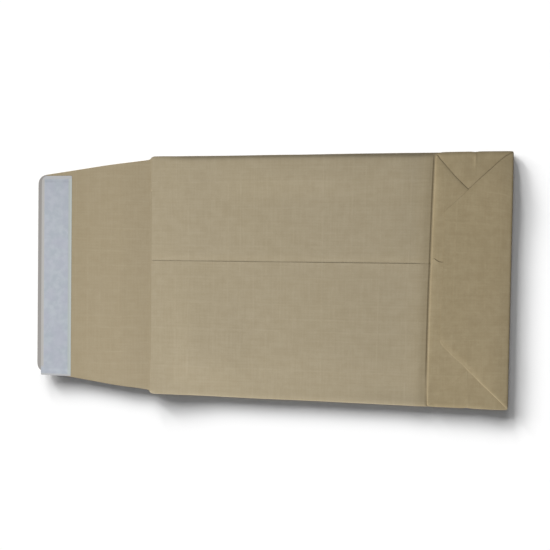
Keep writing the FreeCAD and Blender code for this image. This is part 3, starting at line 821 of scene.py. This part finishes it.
def kraftMaterial(name, hexColour):
    # Laminated kraft: two webs of brown paper on a grid of glass threads.  Rolled, uncoated
    # and matt; long fibres run with the web, and the threads print through as pale lines.
    material, tree, shader = startMaterial(name)
    flat = addNode(tree, "ShaderNodeUVMap", uv_map="cut")
    split = addNode(tree, "ShaderNodeSeparateXYZ", (flat,), out=None).outputs
    lengthwise, roundwise = (threadLines(tree, split[i], flat, i) for i in (0, 1))
    threads = addNode(tree, "ShaderNodeMath", (lengthwise, roundwise), operation="MAXIMUM")
    fibres = speckle(tree, flat, 0.7, 3.0, 0.6, (0.3, 1.0, 1.0))   # fibres 1-2 mm long, along the web
    cloud = speckle(tree, flat, 9, 3.0, 0.55, (0.8, 1.0, 1.0))     # formation of the pulp
    broad = speckle(tree, flat, 70, 2.0)
    webLines = speckle(tree, flat, 1.5, 2.0, 0.5, (0.05, 1.0, 1.0))    # streaks from the felt
    crossLines = speckle(tree, flat, 1.5, 2.0, 0.5, (1.0, 0.06, 1.0))
    streaks = addNode(tree, "ShaderNodeMath", (webLines, crossLines), operation="ADD")
    layers = [
        (addNode(tree, "ShaderNodeMapRange", (pattern, low, high, 0.0, most), **soft), paperLook[tint])
        for pattern, low, high, most, tint in (
            (fibres, 0.35, 0.75, 0.12, "fibreDark"), (cloud, 0.3, 0.7, 0.15, "fibreDark"),
            (broad, 0.3, 0.7, 0.10, "broad"), (streaks, 0.8, 1.25, 0.14, "fibreDark"))]
    shown = addNode(tree, "ShaderNodeMath", (threads, paperLook["threadShow"]), operation="MULTIPLY")
    layers.append((shown, paperLook["thread"]))
    runs = {run: [place * mm for place in paperLook[run]]
            for run in ("paintedShadeRun", "bySealRun", "tipRun", "tipCornerRun")}
    if name == "kraft_outer_web":   # painted shade: darker from just before the lip over the whole bottom, for the dimmer light there, with random darker blotches over it
        paintedShade = addNode(tree, "ShaderNodeMapRange", (split[0], *runs["paintedShadeRun"]), **soft)
        blotch = addNode(tree, "ShaderNodeMapRange", (
            speckle(tree, flat, 10, 3.0, 0.65), 0.35, 0.68, 0.0, paperLook["blotch"]), **soft)
        blotch = addNode(tree, "ShaderNodeMath", (blotch, paintedShade), operation="MULTIPLY")
        layers += [(paintedShade, paperLook["paintedShade"], "MULTIPLY"), (blotch, paperLook["fibreDark"])]
    else:                           # darker towards the liner, and grey along the flap's tip
        bySeal = addNode(tree, "ShaderNodeMapRange", (
            split[0], *runs["bySealRun"], paperLook["bySealShow"], 0.0), **soft)
        atTip = addNode(tree, "ShaderNodeMapRange", (split[0], *runs["tipRun"], 1.0, 0.0), **soft)
        slantwise = addNode(tree, "ShaderNodeMath", (split[1], split[0]), operation="SUBTRACT")
        atCorner = addNode(tree, "ShaderNodeMapRange", (slantwise, *runs["tipCornerRun"]), **soft)
        atTip = addNode(tree, "ShaderNodeMath", (atTip, atCorner), operation="MAXIMUM")
        layers += [(bySeal, paperLook["bySeal"]), (atTip, paperLook["tip"])]
    height = 0.0
    for pattern, share in ((threads, 0.8), (fibres, 0.35), (cloud, 0.8)):
        height = addNode(tree, "ShaderNodeMath", (pattern, share, height), operation="MULTIPLY_ADD")
    finishMaterial(tree, shader, paperLook, layColours(tree, hexColour, layers), height)
    return material


linerLook = {  # runs are in mm inwards from the liner's own edges
    "stuck": "#9AA1A9", "loose": "#A5ABB2", "cloud": "#A0A1AE",
    "foot": "#A9B0AD", "footRun": (4.2, 2.4), "tip": "#A5A3A0", "tipRun": (2.2, 3.6), "tipFrom": (6.5, 10.5),
    "ends": "#A6A7A9", "highRun": (3.8, 2.4), "lowRun": (1.2, 2.4),
    "roughness": 0.5, "specular": 0.35, "relief": 0.12, "reliefShare": 0.5,
}


def linerMaterial():
    # Release liner: glassine paper with a silicone coat, calendered smooth.  Bluish white over
    # the tacky film, mottled where it has let go a little, paler along its dry edges.
    material, tree, shader = startMaterial("silicone_release_paper")
    flat = addNode(tree, "ShaderNodeUVMap", uv_map="cut")
    split = addNode(tree, "ShaderNodeSeparateXYZ", (flat,), out=None).outputs
    mottle = speckle(tree, flat, 7, 2.5, 0.5)
    runs = {  # what each colour follows, from where to where, and how much of it shows there
        "loose": (mottle, 0.35, 0.68, 0.0, 1.0),
        "cloud": (speckle(tree, flat, 18, 2.0), 0.35, 0.65, 0.0, 0.5),
        "foot": (split[0], *((linerRight - s) * mm for s in linerLook["footRun"]), 0.0, 1.0),
        "tip": (split[0], *((seal["linerTip"] + s) * mm for s in linerLook["tipRun"]), 1.0, 0.0),
        "tipFrom": (split[1], *((seal["linerLow"] + s) * mm for s in linerLook["tipFrom"]), 0.0, 1.0),
        "high": (split[1], *((seal["linerHigh"] - s) * mm for s in linerLook["highRun"]), 0.0, 1.0),
        "low": (split[1], *((seal["linerLow"] + s) * mm for s in linerLook["lowRun"]), 1.0, 0.0),
    }
    shows = {name: addNode(tree, "ShaderNodeMapRange", run, **soft) for name, run in runs.items()}
    shows["tip"] = addNode(tree, "ShaderNodeMath", (shows["tip"], shows["tipFrom"]), operation="MULTIPLY")
    shows["ends"] = addNode(tree, "ShaderNodeMath", (shows["high"], shows["low"]), operation="MAXIMUM")
    layers = [(shows[name], linerLook[name]) for name in ("loose", "cloud", "foot", "tip", "ends")]
    finishMaterial(tree, shader, linerLook, layColours(tree, linerLook["stuck"], layers), mottle)
    return material


hotMelt = {"colour": "#D9D4C2", "pool": "#BBB08E", "roughness": 0.35, "specular": 0.5,
           "relief": 0.1, "reliefShare": 0.6}
driedPaste = {**hotMelt, "colour": "#E0DBCC", "roughness": 0.6}


def pasteMaterial(name, look):
    # Dried glue: dextrin paste or hot-melt film, brushed on thin, so it pools and thins out
    material, tree, shader = startMaterial(name)
    pools = speckle(tree, addNode(tree, "ShaderNodeTexCoord", out="Object"), 4, 3.0)
    pooled = addNode(tree, "ShaderNodeMapRange", (pools, 0.35, 0.7, 0.0, 0.5), **soft)
    finishMaterial(tree, shader, look, layColours(tree, look["colour"], [(pooled, look["pool"])]), pools)
    return material


kraftSheet.data.materials[0] = kraftMaterial("kraft_inner_web", paperLook["inner"])
kraftSheet.data.materials[1] = kraftMaterial("kraft_outer_web", paperLook["outer"])
liner.data.materials.append(linerMaterial())
adhesive.data.materials.append(pasteMaterial("hot_melt_film", hotMelt))
dried = pasteMaterial("dried_paste", driedPaste)
seamPaste.data.materials.append(dried)
patch.data.materials.append(dried)

for piece, node, slot in [
    (kraftSheet, "envelope_sheet", "kraft_paper"),
    (liner, "release_liner", "liner_paper"),
    (adhesive, "seal_adhesive", "adhesive"),
    (seamPaste, "seam_glue", "glue"),
    (patch, "bottom_glue", "glue"),
]:
    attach(piece, "root")
    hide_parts(node)
print("materials on, pieces ride on root")


floorSize, floorDrop = 8, 0.0001  # metres; a hair under the table plane
deselectAll()
bpy.ops.mesh.primitive_plane_add(size=floorSize, location=(0, 0, -floorDrop))
floor = bpy.context.object
floor.name = "floor"
white, tree, shader = startMaterial("white_floor")
shader.inputs["Base Color"].default_value = (1, 1, 1, 1)
shader.inputs["Roughness"].default_value = 1
shader.inputs["Specular IOR Level"].default_value = 0
floor.data.materials.append(white)

onlyFloor = bpy.data.collections.new("only_floor")
onlyFloor.objects.link(floor)
notFloor = bpy.data.collections.new("not_floor")
notFloor.objects.link(floor)
notFloor.collection_objects[0].light_linking.link_state = "EXCLUDE"

lamps = {  # angles in degrees, distances and sizes in metres; these light all but the floor
    "world": 0.14,
    "key": {"azimuth": 240, "elevation": 25, "distance": 3.5, "size": 0.73, "level": 0.54},
    "fill": {"azimuth": 175, "elevation": 52, "distance": 1.2, "size": 0.4, "level": 0.29},
}
floorSuns = {  # a fan of low suns on the floor alone, strongest in the middle: a soft shadow
    "azimuth": 133, "turn": 12, "perSide": 4, "bells": (23, 16), "level": 0.88,
    "elevations": (5.2, 7.9), "spreads": (4, 9),
}


def towardsLight(azimuth, elevation):
    a, e = math.radians(azimuth), math.radians(elevation)
    return Vector((math.cos(a) * math.cos(e), math.sin(a) * math.cos(e), math.sin(e)))


def addLamp(name, kind, azimuth, elevation, level, linked, spread=0, distance=1, size=0):
    # level is the brightness that a white level surface gets from it
    data = bpy.data.lights.new(name, kind)
    lamp = bpy.data.objects.new(name, data)
    bpy.context.scene.collection.objects.link(lamp)
    towards = towardsLight(azimuth, elevation)
    lamp.rotation_euler = towards.to_track_quat("Z", "Y").to_euler()
    if kind == "SUN":
        data.angle = math.radians(spread)
        data.energy = level * math.pi / towards.z
    else:
        data.shape = "DISK"
        data.size = size
        lamp.location = towards * distance
        data.energy = level * math.pi ** 2 * distance ** 2 / towards.z
    lamp.light_linking.receiver_collection = linked


addLamp("key_light", "AREA", linked=notFloor, **lamps["key"])
addLamp("fill_light", "AREA", linked=notFloor, **lamps["fill"])
places = range(-floorSuns["perSide"], floorSuns["perSide"] + 1)
shares = [math.exp(-(k * floorSuns["turn"] / floorSuns["bells"][k > 0]) ** 2 / 2) for k in places]
for k, share in zip(places, shares):
    addLamp(f"floor_sun_{k + floorSuns['perSide'] + 1}", "SUN", linked=onlyFloor,
            azimuth=floorSuns["azimuth"] + k * floorSuns["turn"],
            elevation=floorSuns["elevations"][k % 2], spread=floorSuns["spreads"][k % 2],
            level=floorSuns["level"] * share / sum(shares))

world = bpy.data.worlds.new("studio")
bpy.context.scene.world = world
world.use_nodes = True
tree = world.node_tree
tree.nodes.clear()
path = addNode(tree, "ShaderNodeLightPath", out=None).outputs
seen = path["Is Camera Ray"]
for ray in ("Is Glossy Ray", "Is Transmission Ray"):
    seen = addNode(tree, "ShaderNodeMath", (seen, path[ray]), operation="MAXIMUM")
ambient, backdrop = (
    addNode(tree, "ShaderNodeBackground", {"Color": (1, 1, 1, 1), "Strength": strength})
    for strength in (lamps["world"], 1.0))  # dim as a light, white where it is seen
sky = addNode(tree, "ShaderNodeMixShader", (seen, ambient, backdrop))
addNode(tree, "ShaderNodeOutputWorld", {"Surface": sky}, out=None)

view = {  # metres, radians and millimetres of lens and film
    "place": (0.07482, 0.01397, 0.46563), "turn": (-0.0230, 0.1300, 0.0124),
    "lens": 32.727273, "film": 36,
}
cameraData = bpy.data.cameras.new("camera")
cameraData.lens = view["lens"]
cameraData.sensor_width = view["film"]
cameraData.clip_start = 0.01
cameraData.clip_end = 50
camera = bpy.data.objects.new("camera", cameraData)
camera.location = view["place"]
camera.rotation_euler = view["turn"]
bpy.context.scene.collection.objects.link(camera)
bpy.context.scene.camera = camera
bpy.context.scene.view_settings.view_transform = "Standard"
print("floor, lights and camera set")
